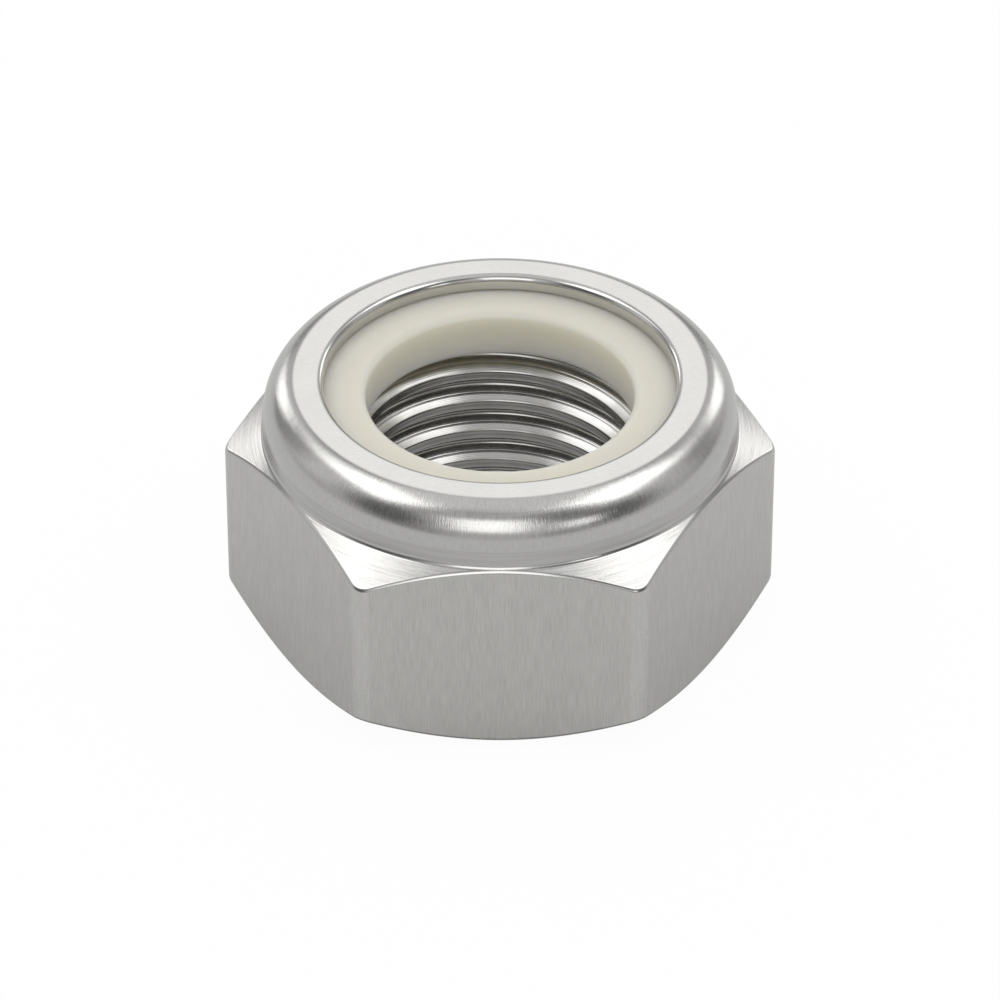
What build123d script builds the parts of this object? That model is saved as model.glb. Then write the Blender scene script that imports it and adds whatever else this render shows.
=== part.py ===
from build123d import *
import os
from math import acos, cos, degrees, radians, sin, sqrt, tan

# Nylon insert lock nut, M30 x 3.5, in millimetres and degrees.
# The thread axis is Z. The bearing face lies in the plane Z = 0 and the collar is uppermost.
# Two flats of the hexagon are square to Y, so two of its corners point along X.
# It is two pieces: the cold-formed steel body and the nylon ring that its collar is rolled over.

# Hexagon
flat_count = 6
across_flats = 46.0
corner_radius = 1.9
wrench_height = 20.65
bearing_diameter = 43.5
bottom_chamfer_angle = 34.0
top_chamfer_angle = 35.5

# Collar, which is rolled inwards over the ring. Insets are inwards: the collar's from the flats,
# the rim's outer edge from the collar's wall.
collar_inset = 0.45
collar_height = 5.95
collar_roll_radius = 4.4
collar_root_radius = 0.65
rim_inset = 2.9
rim_width = 2.9
rim_outer_edge_radius = 0.35
rim_inner_edge_chamfer = 0.5
lip_thickness = 1.6

# Thread, bored to its minor diameter and countersunk at both ends
thread_diameter = 30.0
thread_pitch = 3.5
bearing_countersink_diameter = 32.0
seat_countersink_diameter = 28.6
countersink_angle = 30.0

# Nylon ring
ring_thickness = 4.95
ring_bore_diameter = 25.5
ring_bore_edge_chamfer = 0.2
ring_clearance = 0.03

# Thread radius: a metric nut thread is cut 5/8 of its triangle deep, and the triangle is
# sqrt(3)/2 pitches high.
thread_depth = 5 / 8 * sqrt(3) / 2 * thread_pitch
minor_radius = thread_diameter / 2 - thread_depth
bearing_countersink_radius = bearing_countersink_diameter / 2
seat_countersink_radius = seat_countersink_diameter / 2
countersink_slope = tan(radians(countersink_angle))

# Heights above the bearing face
overall_height = wrench_height + collar_height
lip_underside = overall_height - lip_thickness
seat_height = lip_underside - ring_thickness

# Collar: a straight wall, then a roll about a circle's centre up to the flat rim
flat_radius = across_flats / 2
collar_radius = flat_radius - collar_inset
rim_outer_radius = collar_radius - rim_inset
rim_opening_radius = rim_outer_radius - rim_width
roll_centre_radius = collar_radius - collar_roll_radius
roll_angle = degrees(acos((rim_outer_radius - roll_centre_radius) / collar_roll_radius))
roll_height = overall_height - collar_roll_radius * sin(radians(roll_angle))

# The seat's wall is straight below the roll, whose inside then lies on the ring's conical shoulder.
shoulder_width = lip_underside - roll_height
seat_radius = roll_centre_radius + shoulder_width

# The turned blank is wider than the hexagon, whose flats then cut its two cones.
bearing_radius = bearing_diameter / 2
bottom_slope = tan(radians(bottom_chamfer_angle))
top_slope = tan(radians(top_chamfer_angle))
blank_radius = flat_radius / cos(radians(180 / flat_count)) + corner_radius


def corner_at(section, radius, height):
    """The corner of a half section that lies nearest to a radius and a height."""
    return section.vertices().sort_by_distance((radius, height))[0]


def ring_space(inner_radius, clearance):
    """Half section of the space that the collar closes over, from a radius out to the seat's wall."""
    wall_radius = seat_radius - clearance
    top = lip_underside - clearance
    with BuildSketch() as section:
        with BuildLine():
            Polyline(
                (inner_radius, seat_height),
                (wall_radius, seat_height),
                (wall_radius, top - shoulder_width),
                (wall_radius - shoulder_width, top),
                (inner_radius, top),
                (inner_radius, seat_height),
            )
        make_face()
    return section


def bore_space():
    """Half section of the thread's bore, its two countersinks and the rim's opening."""
    with BuildSketch() as section:
        with BuildLine():
            Polyline(
                (0, 0),
                (bearing_countersink_radius, 0),
                (minor_radius, (bearing_countersink_radius - minor_radius) * countersink_slope),
                (minor_radius, seat_height - (seat_countersink_radius - minor_radius) * countersink_slope),
                (seat_countersink_radius, seat_height),
                (rim_opening_radius, seat_height),
                (rim_opening_radius, overall_height),
                (0, overall_height),
                (0, 0),
            )
        make_face()
    return section


def body_section():
    """Half section of the steel body before its flats are cut."""
    root_height = wrench_height + (flat_radius - collar_radius) * top_slope
    with BuildSketch() as section:
        with BuildLine():
            Polyline(
                (0, overall_height),
                (0, 0),
                (bearing_radius, 0),
                (blank_radius, (blank_radius - bearing_radius) * bottom_slope),
                (blank_radius, wrench_height - (blank_radius - flat_radius) * top_slope),
                (collar_radius, root_height),
                (collar_radius, roll_height),
            )
            CenterArc((roll_centre_radius, roll_height), collar_roll_radius, 0, roll_angle)
            Line((rim_outer_radius, overall_height), (0, overall_height))
        make_face()
        add(bore_space().sketch, mode=Mode.SUBTRACT)
        add(ring_space(rim_opening_radius, 0).sketch, mode=Mode.SUBTRACT)
        fillet(corner_at(section, collar_radius, root_height), collar_root_radius)
        fillet(corner_at(section, rim_outer_radius, overall_height), rim_outer_edge_radius)
        chamfer(corner_at(section, rim_opening_radius, overall_height), rim_inner_edge_chamfer)
    return section


def nut_body():
    """The steel body: a turned and rolled blank with six flats."""
    with BuildPart() as body:
        with BuildSketch(Plane.XZ):
            add(body_section().sketch)
        revolve(axis=Axis.Z)
        with BuildSketch() as hexagon:
            RegularPolygon(flat_radius, side_count=flat_count, major_radius=False)
            fillet(hexagon.vertices(), corner_radius)
        extrude(amount=overall_height, mode=Mode.INTERSECT)
    return body.part


def nylon_insert():
    """The nylon ring: it fills the seat, and its bore grips the bolt."""
    bore_radius = ring_bore_diameter / 2
    section = ring_space(bore_radius, ring_clearance)
    with section:
        chamfer(corner_at(section, bore_radius, lip_underside), ring_bore_edge_chamfer)
    with BuildPart() as ring:
        with BuildSketch(Plane.XZ):
            add(section.sketch)
        revolve(axis=Axis.Z)
    return ring.part


os.makedirs("parts", exist_ok=True)
export_step(nut_body(), "parts/nut_body.step")
export_step(nylon_insert(), "parts/nylon_insert.step")
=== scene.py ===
"""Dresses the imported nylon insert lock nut: its threaded steel body, its nylon ring and the studio."""

import logging
import math
from collections.abc import Callable, Iterator
from contextlib import contextmanager
from dataclasses import dataclass
from enum import Enum
from typing import ClassVar

import bmesh
import bpy
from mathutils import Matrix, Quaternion, Vector


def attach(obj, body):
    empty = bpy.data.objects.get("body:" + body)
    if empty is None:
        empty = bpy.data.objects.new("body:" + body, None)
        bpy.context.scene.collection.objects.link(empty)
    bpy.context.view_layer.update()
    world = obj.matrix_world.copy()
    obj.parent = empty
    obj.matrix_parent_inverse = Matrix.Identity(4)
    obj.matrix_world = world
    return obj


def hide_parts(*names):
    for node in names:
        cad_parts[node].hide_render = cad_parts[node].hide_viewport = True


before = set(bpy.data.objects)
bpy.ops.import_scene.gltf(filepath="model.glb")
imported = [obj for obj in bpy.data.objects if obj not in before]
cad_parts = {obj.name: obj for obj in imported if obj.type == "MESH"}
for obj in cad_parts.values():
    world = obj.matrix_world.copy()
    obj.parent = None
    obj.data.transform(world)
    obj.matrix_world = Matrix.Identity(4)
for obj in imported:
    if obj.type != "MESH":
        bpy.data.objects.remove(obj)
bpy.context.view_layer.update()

MILLIMETRE = 0.001
FULL_TURN = 2 * math.pi
FLAT_COUNT = 6
FLAT_TURN = 360 / FLAT_COUNT
HALF_FLAT_TURN = math.radians(FLAT_TURN / 2)
THREAD_PITCH = 3.5
MERGE_DISTANCE = 2e-6
SHARP_ANGLE = math.radians(40)
LARGE_FACE_WEIGHT = 100
log = logging.getLogger("lock_nut")

Point = tuple[float, float]
Span = tuple[float, float]
Colour = tuple[float, float, float, float]
ANY: Span = (-math.inf, math.inf)
WHITE: Colour = (1, 1, 1, 1)


# Half sections, in millimetres: a radius and a height


def arc(centre: Point, radius: float, start: float, end: float, steps: int) -> list[Point]:
    """Points on an arc of a half section.

    Args:
        centre: Radius and height of the arc's centre.
        radius: The arc's radius.
        start: Angle of the first point, in degrees from outwards towards up.
        end: Angle of the last point, in degrees.
        steps: How many runs the arc is divided into.

    Returns:
        The points from start to end, both included.
    """
    angles = [math.radians(start + (end - start) * i / steps) for i in range(steps + 1)]
    return [(centre[0] + radius * math.cos(a), centre[1] + radius * math.sin(a)) for a in angles]


def rounded(before: Point, corner: Point, after: Point, radius: float, steps: int = 9) -> list[Point]:
    """A corner of a half section, rounded off.

    Args:
        before: A point on the run that comes to the corner.
        corner: The sharp corner.
        after: A point on the run that leaves it.
        radius: Radius of the rounding.
        steps: How many runs the rounding is divided into.

    Returns:
        The points of the rounding, from the run before to the run after.
    """
    tip = Vector(corner)
    back = (Vector(before) - tip).normalized()
    onward = (Vector(after) - tip).normalized()
    half = back.angle(onward) / 2
    centre = tip + (back + onward).normalized() * (radius / math.sin(half))
    first = tip + back * (radius / math.tan(half)) - centre
    last = tip + onward * (radius / math.tan(half)) - centre
    start = math.atan2(first.y, first.x)
    sweep = (math.atan2(last.y, last.x) - start + math.pi) % FULL_TURN - math.pi
    return arc(tuple(centre), radius, math.degrees(start), math.degrees(start + sweep), steps)


def with_roundings(corners: list[tuple[float, float, float]]) -> list[Point]:
    """A run of corners, each rounded by its own radius.

    Args:
        corners: Radius, height and rounding of each corner. The two ends have no rounding.

    Returns:
        The points of the run.
    """
    made: list[Point] = []
    for i, (radius, height, rounding) in enumerate(corners):
        if rounding:
            made += rounded(corners[i - 1][:2], (radius, height), corners[i + 1][:2], rounding)
        else:
            made.append((radius, height))
    return made


# Work on a mesh


def take(piece: bpy.types.Object) -> None:
    """Selects one object alone and makes it the active one.

    Args:
        piece: The object.
    """
    bpy.ops.object.select_all(action="DESELECT")
    piece.select_set(True)
    bpy.context.view_layer.objects.active = piece


@contextmanager
def bench(piece: bpy.types.Object) -> Iterator[None]:
    """Puts one piece in edit mode with nothing selected, and takes it out again.

    Args:
        piece: The mesh object to work on.
    """
    take(piece)
    bpy.ops.object.mode_set(mode="EDIT")
    bpy.ops.mesh.select_mode(type="VERT")
    bpy.ops.mesh.select_all(action="DESELECT")
    yield
    bpy.ops.object.mode_set(mode="OBJECT")


def radius_of(place: Vector) -> float:
    """Distance of a place from the thread's axis, in millimetres."""
    return math.hypot(place.x, place.y) / MILLIMETRE


def height_of(place: Vector) -> float:
    """Height of a place above the bearing face, in millimetres."""
    return place.z / MILLIMETRE


def column_of(place: Vector) -> float:
    """How many degrees a place lies from the middle of the nearest flat."""
    turn = math.degrees(math.atan2(place.x, -place.y)) % FLAT_TURN
    return round(min(turn, FLAT_TURN - turn), 2)


def pick_edges(piece: bpy.types.Object, wanted: Callable[[bmesh.types.BMEdge], bool]) -> None:
    """Selects only the edges that are wanted.

    Args:
        piece: The piece, in edit mode.
        wanted: Says whether an edge is wanted.
    """
    bpy.ops.mesh.select_mode(type="EDGE")
    bpy.ops.mesh.select_all(action="DESELECT")
    mesh = bmesh.from_edit_mesh(piece.data)
    picked = [edge for edge in mesh.edges if wanted(edge)]
    for edge in picked:
        edge.select_set(True)
    bmesh.update_edit_mesh(piece.data)


def pick_open_end(piece: bpy.types.Object, middle: float, side: int) -> None:
    """Selects only the open edges above or below a height.

    Args:
        piece: The piece, in edit mode.
        middle: The height, in millimetres.
        side: 1 for the edges above it, -1 for those below.
    """
    pick_edges(piece, lambda edge: edge.is_boundary and (height_of(edge.verts[0].co) - middle) * side > 0)


def pick_faces(piece: bpy.types.Object, wanted: Callable[[Vector, Vector], bool]) -> int:
    """Selects only the faces that are wanted.

    Args:
        piece: The piece, in edit mode.
        wanted: Says whether a face with this middle and normal is wanted.

    Returns:
        How many they are.
    """
    bpy.ops.mesh.select_mode(type="FACE")
    bpy.ops.mesh.select_all(action="DESELECT")
    mesh = bmesh.from_edit_mesh(piece.data)
    picked = [face for face in mesh.faces if wanted(face.calc_center_median(), face.normal)]
    for face in picked:
        face.select_set(True)
    bmesh.update_edit_mesh(piece.data)
    return len(picked)


def merge_doubles() -> None:
    """Merges the vertices that lie in one place, in the piece in edit mode."""
    bpy.ops.mesh.select_all(action="SELECT")
    bpy.ops.mesh.remove_doubles(threshold=MERGE_DISTANCE)


def face_outwards() -> None:
    """Turns the faces outwards, in the piece in edit mode."""
    bpy.ops.mesh.select_all(action="SELECT")
    bpy.ops.mesh.normals_make_consistent(inside=False)


def drawn(name: str, section: list[Point]) -> bpy.types.Object:
    """A half section drawn as a chain of edges, from a speck that is stretched point by point.

    Args:
        name: Name of the new object.
        section: The points, in millimetres.

    Returns:
        The object, with its place in its mesh.
    """
    bpy.ops.object.select_all(action="DESELECT")
    start = (section[0][0] * MILLIMETRE, 0, section[0][1] * MILLIMETRE)
    bpy.ops.mesh.primitive_plane_add(size=MILLIMETRE, location=start)
    piece = bpy.context.object
    piece.name = name
    bpy.ops.object.transform_apply(location=True, rotation=True, scale=True)
    with bench(piece):
        bpy.ops.mesh.select_all(action="SELECT")
        bpy.ops.mesh.merge(type="CENTER")
        for (radius, height), (next_radius, next_height) in zip(section, section[1:]):
            step = ((next_radius - radius) * MILLIMETRE, 0, (next_height - height) * MILLIMETRE)
            bpy.ops.mesh.extrude_vertices_move(TRANSFORM_OT_translate={"value": step})
    return piece


def turned(name: str, section: list[Point], columns: int) -> bpy.types.Object:
    """A half section spun once round the thread's axis.

    Args:
        name: Name of the new object.
        section: The half section's points, in millimetres.
        columns: How many columns of faces go round.

    Returns:
        The spun shell, its normals not yet turned outwards.
    """
    piece = drawn(name, section)
    with bench(piece):
        bpy.ops.mesh.select_all(action="SELECT")
        bpy.ops.mesh.spin(steps=columns, angle=FULL_TURN, center=(0, 0, 0), axis=(0, 0, 1))
        merge_doubles()
    return piece


def apply_modifiers(piece: bpy.types.Object) -> None:
    """Applies every modifier of a piece, first to last.

    Args:
        piece: The piece.
    """
    take(piece)
    for modifier in list(piece.modifiers):
        bpy.ops.object.modifier_apply(modifier=modifier.name)


def smooth(piece: bpy.types.Object) -> None:
    """Smooth shading up to the sharp angle, with the large faces kept flat.

    Args:
        piece: The piece.
    """
    take(piece)
    bpy.ops.object.shade_smooth_by_angle(angle=SHARP_ANGLE)
    weighted = piece.modifiers.new("weighted", "WEIGHTED_NORMAL")
    weighted.keep_sharp = True
    weighted.weight = LARGE_FACE_WEIGHT
    apply_modifiers(piece)


# Shader wiring

NOISE_MEAN = 0.5

# A Mix node's sockets, by number
MIX_FACTOR = 0
MIX_NUMBERS = (2, 3)
MIX_COLOURS = (6, 7)
MIXED_COLOUR = 2


class Signal:
    """A socket's value, on which Python's arithmetic adds Math nodes."""

    def __init__(self, wiring: "Wiring", socket: bpy.types.NodeSocket) -> None:
        """Wraps a socket.

        Args:
            wiring: The material's wiring that the nodes are added to.
            socket: The output socket that carries the value.
        """
        self.wiring = wiring
        self.socket = socket

    def _with(self, operation: str, *values: "Signal | float") -> "Signal":
        """One Math node on the given values, in their order."""
        inputs = dict(enumerate(values))
        return self.wiring.node("ShaderNodeMath", {"operation": operation}, inputs)

    def __add__(self, other: "Signal | float") -> "Signal":
        """The sum."""
        return self._with("ADD", self, other)

    __radd__ = __add__

    def __mul__(self, other: "Signal | float") -> "Signal":
        """The product."""
        return self._with("MULTIPLY", self, other)

    __rmul__ = __mul__

    def __sub__(self, other: "Signal | float") -> "Signal":
        """The difference."""
        return self._with("SUBTRACT", self, other)

    def __rsub__(self, other: float) -> "Signal":
        """The difference from a number."""
        return self._with("SUBTRACT", other, self)

    def __truediv__(self, other: "Signal | float") -> "Signal":
        """The quotient."""
        return self._with("DIVIDE", self, other)

    def __pow__(self, other: float) -> "Signal":
        """The power."""
        return self._with("POWER", self, other)

    def sine(self) -> "Signal":
        """The sine of an angle in radians."""
        return self._with("SINE", self)

    def cosine(self) -> "Signal":
        """The cosine of an angle in radians."""
        return self._with("COSINE", self)

    def within(self, low: float, high: float) -> "Signal":
        """A smooth ramp from 0 at low to 1 at high."""
        inputs = {"Value": self, "From Min": low, "From Max": high}
        return self.wiring.node("ShaderNodeMapRange", {"interpolation_type": "SMOOTHSTEP"}, inputs)


class Wiring:
    """The nodes of one material, or of the world."""

    def __init__(self, name: str, owner: bpy.types.ID | None = None) -> None:
        """Makes an empty material, or empties the owner's nodes.

        Args:
            name: The material's name.
            owner: The world, where the nodes are its own.
        """
        self.material = owner or bpy.data.materials.new(name)
        self.material.use_nodes = True
        self.tree = self.material.node_tree
        self.tree.nodes.clear()

    @classmethod
    def of_world(cls, world: bpy.types.World) -> "Wiring":
        """The world's own nodes, emptied."""
        return cls(world.name, world)

    def node(
        self,
        kind: str,
        settings: dict | None = None,
        inputs: dict | None = None,
        output: str | int = 0,
    ) -> Signal:
        """Adds a node.

        Args:
            kind: The node's type.
            settings: Attributes of the node, set first.
            inputs: Values or signals of its input sockets, by name or number.
            output: Name or number of the output socket that is handed back.

        Returns:
            The signal of that output.
        """
        made = self.tree.nodes.new(kind)
        for name, value in (settings or {}).items():
            setattr(made, name, value)
        for name, value in (inputs or {}).items():
            if isinstance(value, Signal):
                self.tree.links.new(value.socket, made.inputs[name])
            else:
                made.inputs[name].default_value = value
        return Signal(self, made.outputs[output])

    def vector(self, x: Signal | float, y: Signal | float, z: Signal | float) -> Signal:
        """A vector of three values."""
        return self.node("ShaderNodeCombineXYZ", None, {0: x, 1: y, 2: z})

    def mix(self, factor: Signal | float, low: Signal | Colour, high: Signal | Colour) -> Signal:
        """A colour between two colours."""
        inputs = {MIX_FACTOR: factor, MIX_COLOURS[0]: low, MIX_COLOURS[1]: high}
        return self.node("ShaderNodeMix", {"data_type": "RGBA"}, inputs, MIXED_COLOUR)

    def noise(self, place: Signal, scale: float, detail: float = 2.0, roughness: float = 0.5) -> Signal:
        """Smooth noise about its mean, at a place."""
        inputs = {"Vector": place, "Scale": scale, "Detail": detail, "Roughness": roughness}
        return self.node("ShaderNodeTexNoise", {"noise_dimensions": "3D"}, inputs, "Fac")

    def shown(self, surface: Signal) -> bpy.types.Material:
        """Sends a shader to the material's surface.

        Args:
            surface: The shader.

        Returns:
            The material.
        """
        output = self.tree.nodes.new("ShaderNodeOutputMaterial")
        self.tree.links.new(surface.socket, output.inputs["Surface"])
        return self.material


class Millimetres:
    """Object coordinates in millimetres, plain and about the thread's axis."""

    def __init__(self, wiring: Wiring) -> None:
        """Adds the coordinate nodes.

        Args:
            wiring: The material's wiring.
        """
        place = wiring.node("ShaderNodeTexCoord", None, None, "Object")
        split = wiring.node("ShaderNodeSeparateXYZ", None, {0: place})
        outputs = split.socket.node.outputs
        self.x, self.y, self.z = (Signal(wiring, outputs[i]) / MILLIMETRE for i in range(3))
        self.radius = (self.x * self.x + self.y * self.y) ** 0.5
        self.point = wiring.vector(self.x, self.y, self.z)
        self.outward_x = self.x / self.radius
        self.outward_y = self.y / self.radius


class Grain(Enum):
    """Which way the fine lines of a steel surface run."""

    UPRIGHT = "upright"
    AROUND = "around"
    ROLLED = "rolled"
    RIM = "rim"
    THREAD = "thread"


class GrainLines:
    """The lines of each grain, as noise about its mean that is stretched along them."""

    FINE_SHARE: ClassVar[float] = 0.8
    BROAD_SHARE: ClassVar[float] = 0.2

    def __init__(self, wiring: Wiring, place: Millimetres) -> None:
        """Keeps what the lines are drawn with.

        Args:
            wiring: The material's wiring.
            place: Its coordinates.
        """
        self.wiring = wiring
        self.place = place
        self.meridian = place.z - place.radius

    def of(self, grain: Grain) -> Signal:
        """The lines of a grain.

        Args:
            grain: Which way they run.

        Returns:
            Their height and tone.
        """
        drawn_as = {
            Grain.UPRIGHT: self._upright,
            Grain.AROUND: self._around,
            Grain.ROLLED: self._rolled,
            Grain.RIM: self._across_rim,
            Grain.THREAD: self._along_thread,
        }
        return drawn_as[grain]()

    def _blend(self, fine: Signal, broad: Signal) -> Signal:
        """Fine lines over broad ones."""
        return fine * self.FINE_SHARE + broad * self.BROAD_SHARE

    def _upright(self) -> Signal:
        """Upright lines over broad upright streaks.

        Returns:
            The lines.
        """
        place, vector = self.place, self.wiring.vector
        fine_scale, fine_squeeze = 9.0, 0.05
        broad_scale, broad_squeeze = 1.2, 0.15
        fine = self.wiring.noise(vector(place.x, place.y, place.z * fine_squeeze), fine_scale, 1.0)
        broad = self.wiring.noise(vector(place.x, place.y, place.z * broad_squeeze), broad_scale, 1.0)
        return self._blend(fine, broad)

    def _around(self) -> Signal:
        """Rings round the axis, as turning leaves them.

        Returns:
            The lines.
        """
        place = self.place
        scale, detail, roughness = 1.8, 2.0, 0.6
        along, across = 1.2, 3
        ring = self.wiring.vector(place.outward_x * along, place.outward_y * along, self.meridian * across)
        return self.wiring.noise(ring, scale, detail, roughness)

    def _rolled(self) -> Signal:
        """Streaks down the rolled wall over faint rings.

        Returns:
            The lines.
        """
        place, vector = self.place, self.wiring.vector
        streak_scale, streak_count, streak_squeeze = 10.0, 28, 0.12
        ring_scale, ring_count = 1.5, 4
        streak = vector(
            place.outward_x * streak_count,
            place.outward_y * streak_count,
            self.meridian * streak_squeeze,
        )
        ring = vector(place.outward_x, place.outward_y, self.meridian * ring_count)
        return self._blend(
            self.wiring.noise(streak, streak_scale, 1.0),
            self.wiring.noise(ring, ring_scale, 1.0),
        )

    def _across_rim(self) -> Signal:
        """Scuffs that run slantwise over the flat rim.

        Returns:
            The lines.
        """
        place = self.place
        scale, detail = 7.0, 2.0
        slant, drift = 0.3, 0.1
        scuffs = self.wiring.vector(place.x * slant + place.y, place.y, place.x * drift)
        return self.wiring.noise(scuffs, scale, detail)

    def _along_thread(self) -> Signal:
        """Tool marks along the thread's turns over broad patches.

        Returns:
            The lines.
        """
        place, vector = self.place, self.wiring.vector
        mark_scale, patch_scale, patch_detail = 5.0, 0.5, 2.0
        reach = THREAD_PITCH / FULL_TURN
        turn = place.z * (FULL_TURN / THREAD_PITCH)
        ahead = turn.cosine() * place.outward_x + turn.sine() * place.outward_y
        aside = turn.sine() * place.outward_x - turn.cosine() * place.outward_y
        marks = self.wiring.noise(vector(ahead * reach, aside * reach, place.radius), mark_scale, 1.0)
        patches = self.wiring.noise(place.point, patch_scale, patch_detail)
        return self._blend(marks, patches)


@dataclass(frozen=True)
class SteelFinish:
    """Bright stainless steel with a fine grain.

    Attributes:
        name: The material's name.
        grain: Which way its lines run.
        roughness: Mean roughness.
        relief: Height of the lines, in millimetres.
        contrast: How far the lines change the tone, as a share.
        tone: Base colour.
        tone_span: The lines' values at which the tone is darkest and lightest.
        line_swing: How far the lines change the roughness.
        cloud_swing: How far broad clouds change the roughness.
        cloud_scale: How fine those clouds are.
    """

    name: str
    grain: Grain
    roughness: float
    relief: float
    contrast: float = 0.04
    tone: Colour = (0.575, 0.57, 0.555, 1)
    tone_span: Span = (0.3, 0.7)
    line_swing: float = 0.1
    cloud_swing: float = 0.06
    cloud_scale: float = 0.25

    def material(self) -> bpy.types.Material:
        """Builds the material.

        Returns:
            The material.
        """
        wiring = Wiring(self.name)
        place = Millimetres(wiring)
        lines = GrainLines(wiring, place).of(self.grain)
        cloud = wiring.noise(place.point, self.cloud_scale)
        line_part = (lines - NOISE_MEAN) * self.line_swing
        cloud_part = (cloud - NOISE_MEAN) * self.cloud_swing
        colour = wiring.mix(
            lines.within(*self.tone_span),
            self._shade(1 - self.contrast),
            self._shade(1 + self.contrast),
        )
        bump_inputs = {"Height": lines, "Distance": self.relief * MILLIMETRE, "Strength": 1.0}
        inputs = {
            "Base Color": colour,
            "Metallic": 1.0,
            "Roughness": self.roughness + line_part + cloud_part,
            "Normal": wiring.node("ShaderNodeBump", None, bump_inputs),
        }
        return wiring.shown(wiring.node("ShaderNodeBsdfPrincipled", None, inputs))

    def _shade(self, factor: float) -> Colour:
        """The tone made lighter or darker by a factor."""
        red, green, blue, alpha = self.tone
        return (red * factor, green * factor, blue * factor, alpha)


# Grain, roughness, relief, contrast and tone
CONES = SteelFinish("steel_turned_cones", Grain.AROUND, 0.275, 0.028)
FLATS = SteelFinish("steel_brushed_flats", Grain.UPRIGHT, 0.32, 0.0016, 0.075, (0.59, 0.584, 0.566, 1))
# Painted highlight: the rounded corners get a lighter tone than the flats, standing in for the brighter
# light that they mirror
CORNERS_PAINTED_HIGHLIGHT = SteelFinish("steel_corners_painted_highlight", Grain.UPRIGHT, 0.28, 0.001, 0.04, (0.625, 0.62, 0.602, 1))
EDGES = SteelFinish("steel_worn_edges", Grain.UPRIGHT, 0.16, 0.0006, 0.03)
# Painted shade: the faces that look down over the foot get a dark tone, standing in for the shadowed floor
# that they mirror
FOOT_EDGE_PAINTED_SHADE = SteelFinish("steel_foot_edge_painted_shade", Grain.UPRIGHT, 0.3, 0.001, 0.04, (0.36, 0.357, 0.35, 1))
COLLAR = SteelFinish("steel_rolled_collar", Grain.ROLLED, 0.19, 0.0115, 0.06)
COLLAR_FOOT = SteelFinish("steel_collar_foot", Grain.AROUND, 0.24, 0.016, 0.06, (0.54, 0.535, 0.52, 1))
RIM = SteelFinish("steel_rim", Grain.RIM, 0.3, 0.004, 0.05)
RIM_EDGE = SteelFinish("steel_rim_edge", Grain.AROUND, 0.13, 0.001, 0.02)
THREAD = SteelFinish("steel_cut_thread", Grain.THREAD, 0.2, 0.026, 0.26, (0.55, 0.545, 0.53, 1))


@dataclass(frozen=True)
class Zone:
    """The faces that a finish covers, by the spans that their middles and normals lie in.

    Attributes:
        finish: The finish.
        radii: Distances from the axis, in millimetres.
        heights: Heights above the bearing face, in millimetres.
        tilts: Upward parts of the normals, from -1 for straight down to 1 for straight up.
    """

    finish: SteelFinish
    radii: Span = ANY
    heights: Span = ANY
    tilts: Span = ANY

    def holds(self, middle: Vector, normal: Vector) -> bool:
        """Says whether a face is in the zone.

        Args:
            middle: The face's middle.
            normal: Its normal.

        Returns:
            Whether it is.
        """
        measures = (radius_of(middle), height_of(middle), normal.z)
        spans = (self.radii, self.heights, self.tilts)
        return all(low < measure < high for measure, (low, high) in zip(measures, spans))


@dataclass(frozen=True)
class NylonFinish:
    """Natural off-white nylon, satin.

    Attributes:
        name: The material's name.
        colour: Its colour outside the bore.
        painted_light_bore_colour: Its colour in the bore, paler than the rest: painted light on the bore's
            wall.
        bore_edge: Radii between which the one gives way to the other, in millimetres.
        roughness: Mean roughness.
        grain_swing: How far the grain changes the roughness.
        grain_scale: How fine the grain is.
        grain_detail: How much finer grain lies on it.
        translucence: Share of the light that goes through the surface.
        depth: How deep that light goes, in millimetres.
        depth_shares: Shares of that depth for red, green and blue.
    """

    name: str = "natural_nylon"
    colour: Colour = (0.735, 0.708, 0.615, 1)
    painted_light_bore_colour: Colour = (0.875, 0.843, 0.745, 1)
    bore_edge: Span = (12.76, 13.1)
    roughness: float = 0.42
    grain_swing: float = 0.1
    grain_scale: float = 2.5
    grain_detail: float = 3.0
    translucence: float = 1.0
    depth: float = 3.5
    depth_shares: tuple[float, float, float] = (1.0, 0.92, 0.7)

    def material(self) -> bpy.types.Material:
        """Builds the material.

        Returns:
            The material.
        """
        wiring = Wiring(self.name)
        place = Millimetres(wiring)
        grain = wiring.noise(place.point, self.grain_scale, self.grain_detail)
        inputs = {
            # Painted light: the bore's wall gets a paler colour than the rest of the ring, so that it looks
            # more brightly lit
            "Base Color": wiring.mix(place.radius.within(*self.bore_edge), self.painted_light_bore_colour, self.colour),
            "Roughness": self.roughness + (grain - NOISE_MEAN) * self.grain_swing,
            "Subsurface Weight": self.translucence,
            "Subsurface Radius": self.depth_shares,
            "Subsurface Scale": self.depth * MILLIMETRE,
        }
        return wiring.shown(wiring.node("ShaderNodeBsdfPrincipled", None, inputs))


# The pieces


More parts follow.
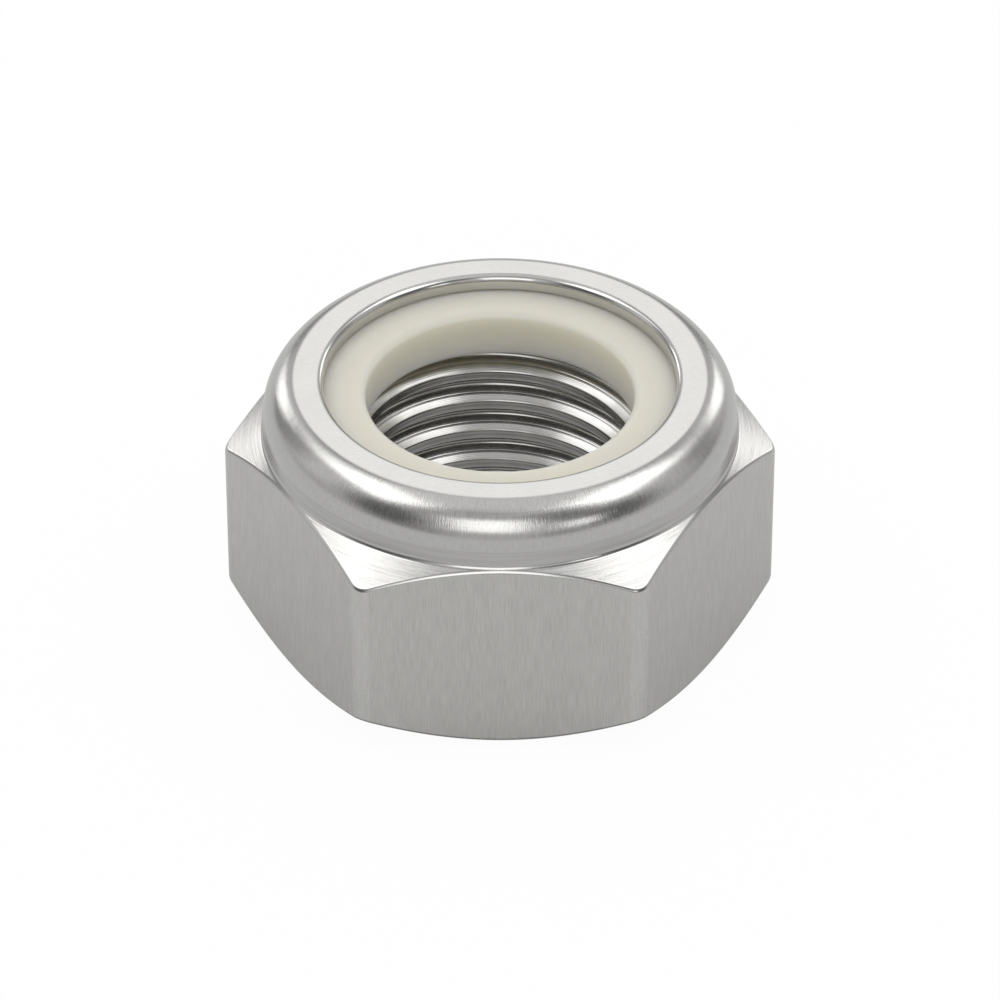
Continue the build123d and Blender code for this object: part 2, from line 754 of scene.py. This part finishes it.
@dataclass
class NutBody:
    """The steel body: a turned inside and collar, a hexagon with rounded corners, and a right-hand thread.

    Sizes are in millimetres and degrees. The pilot is the bore before the thread is cut. The hexagon's
    wall starts on the lower cone at foot_start outside the bearing face, and ends on the collar at
    collar_joint above the wrench height. The margins, rises and tilts are the limits of the zones that
    they are named for, and a tilt is the upward part of a face's normal.
    """

    across_flats: float = 46.0
    corner_radius: float = 1.9
    wrench_height: float = 20.47
    bearing_diameter: float = 43.5
    bottom_chamfer_angle: float = 34.0
    top_chamfer_angle: float = 34.5
    flat_edge_radius: float = 0.75
    foot_edge_radius: float = 0.6
    foot_start: float = 0.5
    bearing_edge_radius: float = 0.5
    collar_radius: float = 22.55
    collar_joint: float = 0.8
    collar_root_radius: float = 0.67
    collar_roll_radius: float = 4.4
    overall_height: float = 26.6
    rim_outer_radius: float = 19.65
    rim_opening_radius: float = 16.75
    rim_inner_edge_radius: float = 0.7
    rim_outer_edge_radius: float = 1.2
    lip_underside: float = 25.0
    lip_edge_radius: float = 0.15
    seat_radius: float = 20.687
    seat_height: float = 20.05
    roll_height: float = 22.463
    thread_pitch: float = THREAD_PITCH
    minor_radius: float = 13.1056
    pilot_inset: float = 0.6
    thread_phase: float = -0.93
    thread_turns: int = 9
    thread_spare_turns: int = 2
    thread_crest_width: float = 0.92
    thread_flank_angle: float = 33.7
    thread_root_radius: float = 0.5
    thread_crest_top_radius: float = 0.3
    thread_crest_foot_radius: float = 0.2
    bearing_countersink_radius: float = 16.0
    seat_countersink_radius: float = 14.3
    countersink_angle: float = 30.0
    countersink_edge_radius: float = 0.12
    bore_zone_margin: float = 0.2
    flat_zone_margin: float = 0.1
    collar_foot_zone_rise: float = 0.5
    thread_zone_rise: float = 1.0
    flat_tilt: float = 0.3
    edge_tilt: float = 0.8
    foot_tilt: float = -0.25
    rim_tilt: float = 0.94
    bearing_tilt: float = -0.99
    corner_steps: int = 6
    flat_steps: int = 36
    edge_steps: int = 8
    root_steps: int = 6
    foot_steps: int = 5
    roll_steps: int = 24
    thread_steps: int = 180

    @property
    def flat_radius(self) -> float:
        """Distance of a flat from the axis."""
        return self.across_flats / 2

    @property
    def columns(self) -> int:
        """Columns of faces that go round the body."""
        return FLAT_COUNT * (self.corner_steps + self.flat_steps)

    @property
    def bearing_radius(self) -> float:
        """Outer radius of the bearing face."""
        return self.bearing_diameter / 2

    def top_cone(self, radius: float) -> float:
        """Height of the upper chamfer's cone at a radius."""
        slope = math.tan(math.radians(self.top_chamfer_angle))
        return self.wrench_height - (radius - self.flat_radius) * slope

    def bottom_cone(self, radius: float) -> float:
        """Height of the lower chamfer's cone at a radius."""
        return (radius - self.bearing_radius) * math.tan(math.radians(self.bottom_chamfer_angle))

    def turned_section(self) -> list[Point]:
        """The half section from the bearing face, through the bore and over the rim, to the collar's wall.

        Returns:
            The points. The two ends of the run of corners only aim its first and last rounding.
        """
        bearing = self.bearing_radius
        outside = bearing + 2 * self.foot_start
        pilot = self.minor_radius - self.pilot_inset
        slope = math.tan(math.radians(self.countersink_angle))
        entry = (self.bearing_countersink_radius - pilot) * slope
        leave = self.seat_height - (self.seat_countersink_radius - pilot) * slope
        shoulder = self.lip_underside - self.roll_height
        inside = with_roundings([
            (outside, self.bottom_cone(outside), 0),
            (bearing, 0, self.bearing_edge_radius),
            (self.bearing_countersink_radius, 0, self.countersink_edge_radius),
            (pilot, entry, 0),
            (pilot, leave, 0),
            (self.seat_countersink_radius, self.seat_height, self.countersink_edge_radius),
            (self.seat_radius, self.seat_height, 0),
            (self.seat_radius, self.roll_height, 0),
            (self.seat_radius - shoulder, self.lip_underside, 0),
            (self.rim_opening_radius, self.lip_underside, self.lip_edge_radius),
            (self.rim_opening_radius, self.overall_height, self.rim_inner_edge_radius),
            (self.rim_outer_radius, self.overall_height, 0),
        ])
        return inside[1:-1] + self.roll()

    def shoulder(self, reach: float) -> list[Point]:
        """The half section over a flat's upper edge, up the cone and into the collar's wall.

        Near the middle of a flat the two roundings meet and leave no cone between them.

        Args:
            reach: Radius of the flat in this column.

        Returns:
            The points from the flat to the collar's wall.
        """
        edge, root = self.flat_edge_radius, self.collar_root_radius
        turn = math.radians(90 - self.top_chamfer_angle)
        width = reach - self.collar_radius
        if width < (edge + root) * (1 - math.cos(turn)):
            turn = math.acos(1 - width / (edge + root))
        edge_end = self.top_cone(reach - edge * (1 - math.cos(turn)))
        root_end = self.top_cone(self.collar_radius + root * (1 - math.cos(turn)))
        edge_centre = (reach - edge, edge_end - edge * math.sin(turn))
        root_centre = (self.collar_radius + root, root_end + root * math.sin(turn))
        over = arc(edge_centre, edge, 0, math.degrees(turn), self.edge_steps)
        return over + arc(root_centre, root, 180 + math.degrees(turn), 180, self.root_steps)

    def foot(self, reach: float) -> list[Point]:
        """The half section from the lower cone over a flat's lower edge.

        Args:
            reach: Radius of the flat in this column.

        Returns:
            The points from the lower cone to the flat.
        """
        edge = self.foot_edge_radius
        turn = math.radians(90 - self.bottom_chamfer_angle)
        inner = self.bearing_radius + self.foot_start
        start = self.bottom_cone(reach - edge * (1 - math.cos(turn)))
        centre = (reach - edge, start + edge * math.sin(turn))
        over = arc(centre, edge, -math.degrees(turn), 0, self.foot_steps)
        return [(inner, self.bottom_cone(inner))] + over

    def roll(self) -> list[Point]:
        """The half section over the rim's outer edge and down the rolled wall.

        Returns:
            The points from the rim to the collar's wall.
        """
        edge = self.rim_outer_edge_radius
        centre = (self.collar_radius - self.collar_roll_radius, self.roll_height)
        reach = self.collar_roll_radius - edge
        rise = self.overall_height - edge - centre[1]
        meeting = math.degrees(math.asin(rise / reach))
        edge_centre = (centre[0] + reach * math.cos(math.radians(meeting)), self.overall_height - edge)
        over = arc(edge_centre, edge, 90, meeting, self.edge_steps)
        return over[:-1] + arc(centre, self.collar_roll_radius, meeting, 0, self.roll_steps)

    def hexagon(self) -> bpy.types.Object:
        """The six flats as a wall, with the cones and roundings above and below them.

        Returns:
            The wall, open at both ends.
        """
        bpy.ops.object.select_all(action="DESELECT")
        bpy.ops.mesh.primitive_circle_add(
            vertices=FLAT_COUNT,
            radius=self.flat_radius / math.cos(HALF_FLAT_TURN) * MILLIMETRE,
            rotation=(0, 0, HALF_FLAT_TURN),
        )
        piece = bpy.context.object
        bpy.ops.object.transform_apply(location=True, rotation=True, scale=True)
        joint = (self.collar_radius, self.wrench_height + self.collar_joint)
        with bench(piece):
            bpy.ops.mesh.select_all(action="SELECT")
            setback = self.corner_radius * math.tan(HALF_FLAT_TURN) * MILLIMETRE
            bpy.ops.mesh.bevel(
                affect="VERTICES",
                offset_type="OFFSET",
                offset=setback,
                segments=self.corner_steps,
            )
            half_run = self.flat_radius * math.tan(HALF_FLAT_TURN) * MILLIMETRE - setback
            pick_edges(piece, lambda edge: edge.calc_length() > half_run)
            bpy.ops.mesh.subdivide(number_cuts=self.flat_steps - 1)
            outline = {column_of(v.co): radius_of(v.co) for v in bmesh.from_edit_mesh(piece.data).verts}
            sections = {
                column: self.foot(reach) + self.shoulder(reach) + [joint]
                for column, reach in outline.items()
            }
            bpy.ops.mesh.select_all(action="SELECT")
            for ring in range(len(next(iter(sections.values())))):
                if ring:
                    bpy.ops.mesh.extrude_edges_move()
                self._place_ring(piece, {column: section[ring] for column, section in sections.items()})
            merge_doubles()
        return piece

    def _place_ring(self, piece: bpy.types.Object, places: dict[float, Point]) -> None:
        """Moves the selected ring, column by column, to its place, and leaves it selected.

        Args:
            piece: The hexagon, in edit mode.
            places: Radius and height of each column.
        """
        mesh = bmesh.from_edit_mesh(piece.data)
        ring = [vertex for vertex in mesh.verts if vertex.select]
        columns = {column: [v.index for v in ring if column_of(v.co) == column] for column in places}
        members = [vertex.index for vertex in ring]
        for column, (radius, height) in places.items():
            place = self._select_only(piece, columns[column])
            factor = radius / radius_of(place)
            bpy.ops.transform.resize(value=(factor, factor, 1), center_override=(0, 0, 0))
            bpy.ops.transform.translate(value=(0, 0, height * MILLIMETRE - place.z))
        self._select_only(piece, members)

    def _select_only(self, piece: bpy.types.Object, indices: list[int]) -> Vector:
        """Selects only some vertices, with the edges between them.

        Args:
            piece: The hexagon, in edit mode.
            indices: The vertices' numbers.

        Returns:
            The place of the first of them.
        """
        bpy.ops.mesh.select_all(action="DESELECT")
        mesh = bmesh.from_edit_mesh(piece.data)
        mesh.verts.ensure_lookup_table()
        for index in indices:
            mesh.verts[index].select_set(True)
        mesh.select_flush(True)
        bmesh.update_edit_mesh(piece.data)
        return mesh.verts[indices[0]].co.copy()

    def add_hexagon(self, piece: bpy.types.Object) -> None:
        """Joins the hexagon's wall to the turned shell, at the lower cone and at the collar.

        Args:
            piece: The turned shell.
        """
        wall = self.hexagon()
        take(piece)
        wall.select_set(True)
        bpy.ops.object.join()
        with bench(piece):
            for side in (-1, 1):
                pick_open_end(piece, self.wrench_height / 2, side)
                bpy.ops.mesh.bridge_edge_loops()
            face_outwards()

    def tap(self) -> bpy.types.Object:
        """The solid that cuts the thread: one pitch of its profile, screwed upwards, with both ends closed.

        Returns:
            The closed solid.
        """
        crest = self.thread_crest_width / 2
        minor = self.minor_radius
        spare = self.thread_spare_turns * self.thread_pitch
        start = self.thread_phase - spare
        middle = start + (self.thread_turns + 1) * self.thread_pitch / 2
        root = start + self.thread_pitch / 2
        foot = start + self.thread_pitch - crest
        sharp = minor + (root - start - crest) / math.tan(math.radians(self.thread_flank_angle))
        profile = with_roundings([
            (minor, start, 0),
            (minor, start + crest, self.thread_crest_top_radius),
            (sharp, root, self.thread_root_radius),
            (minor, foot, self.thread_crest_foot_radius),
            (minor, start + self.thread_pitch, 0),
        ])
        piece = drawn("tap", profile)
        screw = piece.modifiers.new("screw", "SCREW")
        screw.axis = "Z"
        screw.angle = FULL_TURN
        screw.screw_offset = self.thread_pitch * MILLIMETRE
        screw.iterations = self.thread_turns
        screw.steps = self.thread_steps
        screw.render_steps = self.thread_steps
        apply_modifiers(piece)
        with bench(piece):
            merge_doubles()
            for side in (-1, 1):
                pick_open_end(piece, middle, side)
                rise = (0, 0, side * spare * MILLIMETRE)
                bpy.ops.mesh.extrude_edges_move(TRANSFORM_OT_translate={"value": rise})
                bpy.ops.mesh.merge(type="CENTER")
            face_outwards()
        return piece

    def cut_thread(self, piece: bpy.types.Object) -> None:
        """Cuts the thread into the body, and merges the slivers that the cut leaves.

        Args:
            piece: The body, its bore still a pilot.
        """
        tool = self.tap()
        cut = piece.modifiers.new("thread", "BOOLEAN")
        cut.operation = "DIFFERENCE"
        cut.solver = "MANIFOLD"
        cut.object = tool
        apply_modifiers(piece)
        bpy.data.objects.remove(tool)
        with bench(piece):
            merge_doubles()
            bpy.ops.mesh.dissolve_degenerate(threshold=MERGE_DISTANCE)

    def zones(self) -> list[Zone]:
        """The body's zones. Where two share faces, the later one has them.

        Returns:
            The zones, the first of which is the whole body.
        """
        bore = self.bearing_countersink_radius + self.bore_zone_margin
        flat = self.flat_radius - self.flat_zone_margin
        corner_middle = (self.flat_radius - self.corner_radius) * math.tan(HALF_FLAT_TURN)
        corner = math.hypot(self.flat_radius, corner_middle)
        nose = self.rim_opening_radius + self.rim_inner_edge_radius
        joint = self.wrench_height + self.collar_joint
        collar_foot = self.wrench_height + self.collar_foot_zone_rise
        thread_top = self.seat_height + self.thread_zone_rise
        top, foot = math.inf, -math.inf
        return [
            Zone(CONES),
            Zone(FLATS, radii=(flat, math.inf), tilts=(-self.flat_tilt, self.flat_tilt)),
            # Painted highlight: the lighter tone on the rounded corners
            Zone(CORNERS_PAINTED_HIGHLIGHT, radii=(corner, math.inf), tilts=(-self.flat_tilt, self.flat_tilt)),
            Zone(EDGES, radii=(self.collar_radius, math.inf), tilts=(self.flat_tilt, self.edge_tilt)),
            # Painted shade: the dark tone on the downward faces over the foot
            Zone(FOOT_EDGE_PAINTED_SHADE, radii=(self.collar_radius, math.inf), tilts=(-math.inf, self.foot_tilt)),
            Zone(COLLAR, radii=(bore, flat), heights=(joint, top)),
            Zone(COLLAR_FOOT, radii=(bore, flat), heights=(collar_foot, self.roll_height)),
            Zone(RIM, radii=(bore, self.rim_outer_radius), heights=(thread_top, top)),
            Zone(RIM_EDGE, radii=(bore, nose), heights=(thread_top, top), tilts=(-math.inf, self.rim_tilt)),
            Zone(THREAD, radii=(0, bore), heights=(foot, thread_top), tilts=(self.bearing_tilt, math.inf)),
        ]

    def dress(self, piece: bpy.types.Object) -> None:
        """Gives each zone of the body its own finish.

        Args:
            piece: The finished body.
        """
        zones = self.zones()
        piece.data.materials.clear()
        for zone in zones:
            piece.data.materials.append(zone.finish.material())
        with bench(piece):
            for slot, zone in enumerate(zones):
                count = pick_faces(piece, zone.holds)
                piece.active_material_index = slot
                bpy.ops.object.material_slot_assign()
                log.info("%s: %d faces", zone.finish.name, count)

    def build(self) -> bpy.types.Object:
        """Builds and dresses the body.

        Returns:
            The body.
        """
        piece = turned("nut_body_steel", self.turned_section(), self.columns)
        self.add_hexagon(piece)
        self.cut_thread(piece)
        smooth(piece)
        self.dress(piece)
        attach(piece, "root")
        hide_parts("nut_body")
        return piece


@dataclass
class NylonInsert:
    """The nylon ring under the rolled lip. Sizes are in millimetres."""

    bore_radius: float = 12.75
    outer_radius: float = 20.65
    bottom: float = 20.06
    shoulder: float = 22.42
    top: float = 24.96
    bore_edge_radius: float = 0.7
    bore_foot_radius: float = 0.6
    outer_edge_radius: float = 0.3
    columns: int = 252

    def build(self) -> bpy.types.Object:
        """Builds and dresses the ring.

        Returns:
            The ring.
        """
        middle = (self.bottom + self.top) / 2
        section = with_roundings([
            (self.bore_radius, middle, 0),
            (self.bore_radius, self.bottom, self.bore_foot_radius),
            (self.outer_radius, self.bottom, self.outer_edge_radius),
            (self.outer_radius, self.shoulder, self.outer_edge_radius),
            (self.outer_radius - self.top + self.shoulder, self.top, self.outer_edge_radius),
            (self.bore_radius, self.top, self.bore_edge_radius),
            (self.bore_radius, middle, 0),
        ])
        piece = turned("nylon_insert_ring", section, self.columns)
        with bench(piece):
            face_outwards()
        smooth(piece)
        piece.data.materials.append(NylonFinish().material())
        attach(piece, "root")
        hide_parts("nylon_insert")
        return piece


# The studio


def towards(azimuth: float, elevation: float) -> Vector:
    """A direction seen from the nut.

    Args:
        azimuth: Degrees from the front towards the right.
        elevation: Degrees above the horizon.

    Returns:
        The unit vector.
    """
    turn, rise = math.radians(azimuth), math.radians(elevation)
    return Vector((math.sin(turn) * math.cos(rise), -math.cos(turn) * math.cos(rise), math.sin(rise)))


@dataclass(frozen=True)
class SoftBox:
    """A soft lamp that faces the nut.

    Attributes:
        name: The lamp's name.
        azimuth: Where it stands, in degrees from the front towards the right.
        elevation: How high it stands, in degrees.
        width: Its width, in metres.
        height: Its height, in metres.
        radiance: How bright its face is, where 1 is white.
        lean: How far its top leans towards the right, in degrees, as the nut sees it.
        DISTANCE: How far every lamp stands from its aim, in metres.
        AIM: What every lamp stands round and faces.
    """

    DISTANCE: ClassVar[float] = 1.0
    AIM: ClassVar[Vector] = Vector((0, 0, 0.02))

    name: str
    azimuth: float
    elevation: float
    width: float
    height: float
    radiance: float
    lean: float = 0.0

    def place(self) -> None:
        """Adds the lamp."""
        lamp = bpy.data.lights.new(self.name, "AREA")
        lamp.shape = "RECTANGLE"
        lamp.size = self.width
        lamp.size_y = self.height
        lamp.energy = self.radiance * math.pi * self.width * self.height
        made = bpy.data.objects.new(self.name, lamp)
        bpy.context.scene.collection.objects.link(made)
        back = towards(self.azimuth, self.elevation)
        made.location = back * self.DISTANCE + self.AIM
        made.rotation_mode = "QUATERNION"
        turned_box = Quaternion((0, 0, 1), math.radians(-self.lean))
        made.rotation_quaternion = back.to_track_quat("Z", "Y") @ turned_box


@dataclass(frozen=True)
class Shade:
    """A dim part of the room.

    Attributes:
        azimuth: Where it lies, in degrees from the front towards the right.
        elevation: How high it lies, in degrees.
        reach: Degrees from its middle at which it ends.
        depth: The share of light that it takes away in its middle. Below 0 it adds light.
    """

    azimuth: float
    elevation: float
    reach: float
    depth: float


# Azimuth, elevation, width, height, radiance and lean
SOFT_BOXES = (
    SoftBox("box_left", -85.5, 54, 0.62, 0.42, 1.5),
    SoftBox("box_right", 85.5, 54.5, 0.62, 0.44, 1.5),
    SoftBox("box_front", -4.8, 31, 0.51, 0.5, 1.1),
    SoftBox("box_front_right", 38.5, 20, 0.2, 0.22, 1.4),
    SoftBox("box_back", 180, 37, 0.45, 0.36, 0.94),
    SoftBox("box_back_left", -139.5, 15, 0.24, 0.42, 1.4, 28),
    SoftBox("box_back_right", 139.5, 15, 0.24, 0.42, 1.4, -28),
)

# Azimuth, elevation, reach and depth
SHADES = (
    Shade(-54, 22, 26, 0.78),
    Shade(56, 20, 25, 0.76),
    Shade(-100, 18, 16, -0.25),
    Shade(-164, 2, 11, 0.6),
    Shade(164, 2, 11, 0.6),
    Shade(34, 45, 18, 0.7),
    Shade(0, 58, 16, 0.3),
    Shade(-30, 58, 16, 0.3),
    Shade(-120, 20, 17, 0.42),
    Shade(113, 22, 15, 0.42),
    Shade(-44, 44, 12, 0.35),
    Shade(-34, 3, 14, 0.35),
    Shade(28, 3, 13, 0.35),
    Shade(-145, 50, 15, 0.35),
    Shade(138, 50, 15, 0.35),
    Shade(-132, 2, 13, 0.5),
    Shade(111, 1, 15, 0.4),
    Shade(-119, 42, 11, -0.9),
    Shade(113, 41, 11, -0.6),
)


@dataclass
class Studio:
    """The floor, the lamps, the world and the camera.

    The camera's aim height, its distance and its lens are in millimetres, the floor and the depths in
    metres. The floor's two shares of white are what the camera sees and what steel and nylon mirror.
    Within shade_core of its reach, a shade has its whole depth.
    """

    aim_height: float = 12.03
    camera_elevation: float = 36.19
    camera_distance: float = 600.0
    focal_length: float = 225.07
    sensor_width: float = 36.0
    view_depths: Span = (0.01, 20)
    floor_radius: float = 3.0
    floor_sides: int = 96
    floor_tone: float = 0.68
    floor_seen_white: float = 0.96
    floor_mirrored_white: float = 0.16
    zenith_level: float = 0.8
    horizon_level: float = 0.55
    shade_core: float = 0.3

    def floor(self) -> None:
        """A pale floor, which the camera sees as white and which keeps a soft shadow."""
        bpy.ops.object.select_all(action="DESELECT")
        bpy.ops.mesh.primitive_circle_add(
            vertices=self.floor_sides,
            radius=self.floor_radius,
            fill_type="NGON",
        )
        floor = bpy.context.object
        floor.name = "studio_floor"
        wiring = Wiring("studio_pale")
        paths = wiring.node("ShaderNodeLightPath").socket.node.outputs
        rays = ("Is Camera Ray", "Is Glossy Ray", "Is Transmission Ray")
        camera, glossy, through = (Signal(wiring, paths[name]) for name in rays)
        tone = self.floor_tone
        paper = wiring.mix(camera, (tone, tone, tone, 1), WHITE)
        white = wiring.node("ShaderNodeEmission", None, {"Color": WHITE, "Strength": 1.0})
        matt = wiring.node("ShaderNodeBsdfDiffuse", None, {"Color": paper})
        share = camera * self.floor_seen_white + (glossy + through) * self.floor_mirrored_white
        surface = wiring.node("ShaderNodeMixShader", None, {0: share, 1: matt, 2: white})
        floor.data.materials.append(wiring.shown(surface))

    def lamps(self) -> None:
        """The soft boxes."""
        for box in SOFT_BOXES:
            box.place()

    def room(self) -> None:
        """The light of the room, brighter overhead, with its dim and bright parts."""
        world = bpy.data.worlds.new("studio_room")
        bpy.context.scene.world = world
        wiring = Wiring.of_world(world)
        direction = wiring.node("ShaderNodeTexCoord", None, None, "Generated")
        split = wiring.node("ShaderNodeSeparateXYZ", None, {0: direction}).socket.node.outputs
        x, y, z = (Signal(wiring, split[i]) for i in range(3))
        light = self.horizon_level + z.within(0.0, 1.0) * (self.zenith_level - self.horizon_level)
        for shade in SHADES:
            centre = towards(shade.azimuth, shade.elevation)
            nearness = x * centre.x + y * centre.y + z * centre.z
            edge, core = (math.cos(math.radians(shade.reach * share)) for share in (1, self.shade_core))
            light = light * (1 - nearness.within(edge, core) * shade.depth)
        camera = wiring.node("ShaderNodeLightPath", None, None, "Is Camera Ray")
        levels = {MIX_FACTOR: camera, MIX_NUMBERS[0]: light, MIX_NUMBERS[1]: 1.0}
        seen = wiring.node("ShaderNodeMix", {"data_type": "FLOAT"}, levels)
        background = wiring.node("ShaderNodeBackground", None, {"Color": WHITE, "Strength": seen})
        output = wiring.tree.nodes.new("ShaderNodeOutputWorld")
        wiring.tree.links.new(background.socket, output.inputs["Surface"])

    def camera(self) -> None:
        """The camera at the photograph's viewing angle."""
        elevation = math.radians(self.camera_elevation)
        back = Vector((0, -math.cos(elevation), math.sin(elevation)))
        lens = bpy.data.cameras.new("studio_camera")
        lens.sensor_width = self.sensor_width
        lens.lens = self.focal_length
        lens.clip_start, lens.clip_end = self.view_depths
        made = bpy.data.objects.new("studio_camera", lens)
        bpy.context.scene.collection.objects.link(made)
        made.location = (back * self.camera_distance + Vector((0, 0, self.aim_height))) * MILLIMETRE
        made.rotation_mode = "QUATERNION"
        made.rotation_quaternion = back.to_track_quat("Z", "Y")
        bpy.context.scene.camera = made

    def set_up(self) -> None:
        """Sets the whole studio up."""
        self.camera()
        self.floor()
        self.lamps()
        self.room()
        bpy.context.scene.view_settings.view_transform = "Standard"


def main() -> None:
    """Builds the nut and its studio."""
    logging.basicConfig(level=logging.INFO, format="%(name)s: %(message)s")
    for part in (NutBody(), NylonInsert()):
        piece = part.build()
        log.info("%s: %d faces", piece.name, len(piece.data.polygons))
    Studio().set_up()


if __name__ == "__main__":
    main()
